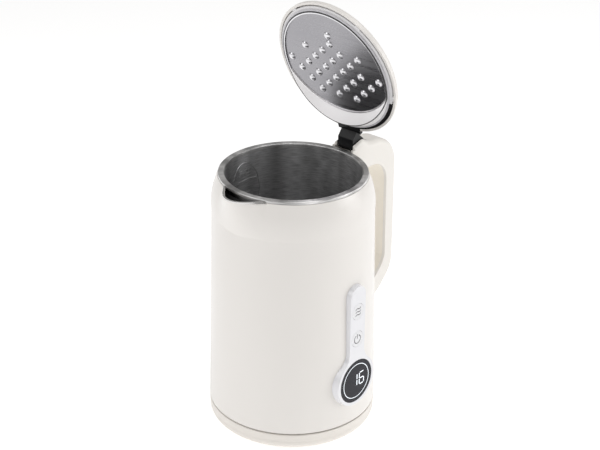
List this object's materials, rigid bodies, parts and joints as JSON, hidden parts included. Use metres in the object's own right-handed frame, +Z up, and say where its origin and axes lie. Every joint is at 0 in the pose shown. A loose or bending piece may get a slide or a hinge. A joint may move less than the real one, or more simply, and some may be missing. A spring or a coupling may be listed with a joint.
{
  "type": "electric kettle",
  "caption": "Tapered double-wall electric kettle on a power base, with a loop handle, hinged dimpled lid shown open, and a keyhole-shaped control panel with display.",
  "frame": {"origin": "centre of the power base, on the plane its feet rest on", "axes": "+Z up, +X towards the handle, -X towards the spout, -Y towards the control panel"},
  "size_m": [0.2042, 0.1494, 0.3722],
  "materials": {
    "body_cream": "glossy cream",
    "handle_cream": "glossy cream",
    "grip_beige": "satin beige",
    "base_cream": "satin cream",
    "steel_brushed": "brushed",
    "steel_polished": "polished",
    "steel_fastener": "zinc plated",
    "black_gloss": "glossy black",
    "black_plastic": "satin black",
    "panel_white": "glossy white",
    "key_white": "glossy white",
    "lens_smoke": "glossy, smoke tinted",
    "display_light": "lit white",
    "silicone_grey": "matte",
    "rubber_dark": "matte",
    "contact_brass": "bright",
    "heater_aluminium": "cast",
    "board_green": "satin",
    "relay_blue": "satin",
    "wire_red": "satin"
  },
  "bodies": {
    "base": {"base_shell": "base_cream", "base_bottom_plate": "base_cream", "base_feet": "rubber_dark", "base_screws": "steel_fastener", "connector_post": "black_plastic", "base_contacts": "contact_brass", "cord_gland": "rubber_dark"},
    "collar": {"locating_collar": "black_plastic"},
    "kettle": {"outer_shell": "body_cream", "steel_liner": "steel_brushed", "pot_floor": "steel_brushed", "rim_seal": "silicone_grey", "spout_chute": "steel_brushed", "spout_lip": "steel_polished", "kettle_bottom_cover": "black_plastic", "kettle_socket": "black_plastic", "kettle_contacts": "contact_brass", "bottom_screws": "steel_fastener", "heating_plate": "heater_aluminium", "heating_element": "heater_aluminium", "thermostat_cutouts": "black_plastic", "ntc_probe": "steel_polished", "power_board": "board_green", "relay_block": "relay_blue", "wiring": "wire_red", "handle_shell": "handle_cream", "handle_grip_cover": "grip_beige", "handle_screws": "steel_fastener", "hinge_pin": "steel_polished", "friction_washers": "rubber_dark", "panel_bezel": "panel_white", "display_lens": "lens_smoke", "display_ring": "display_light", "display_digits": "display_light", "display_module": "black_plastic", "key_board": "board_green", "key_switches": "black_plastic"},
    "lid": {"lid_shell": "body_cream", "lid_plug": "panel_white", "lid_gasket": "silicone_grey", "lid_plate": "steel_polished", "plate_seal": "rubber_dark", "lid_clips": "panel_white", "hinge_arm": "black_gloss", "lid_screws": "steel_fastener"},
    "heat_key": {"heat_key": "key_white"},
    "power_key": {"power_key": "key_white"}
  },
  "joints": [
    {"name": "swivel", "type": "hinge", "parent": "base", "child": "collar", "pos_m": [0, 0, 0], "axis": [0, 0, 1], "continuous": true},
    {"name": "lift_off", "type": "slide", "parent": "collar", "child": "kettle", "axis": [0, 0, 1], "range_m": [0, 0.15]},
    {"name": "lid_hinge", "type": "hinge", "parent": "kettle", "child": "lid", "pos_m": [0.078, 0, 0.2371], "axis": [0, 1, 0], "range_deg": [-72.6, 0]},
    {"name": "heat_key_press", "type": "slide", "parent": "kettle", "child": "heat_key", "axis": [0, 1, 0], "range_m": [0, 0.0008], "stiffness_N_per_m": 1500, "springref_m": -0.0005},
    {"name": "power_key_press", "type": "slide", "parent": "kettle", "child": "power_key", "axis": [0, 1, 0], "range_m": [0, 0.0008], "stiffness_N_per_m": 1500, "springref_m": -0.0005}
  ]
}
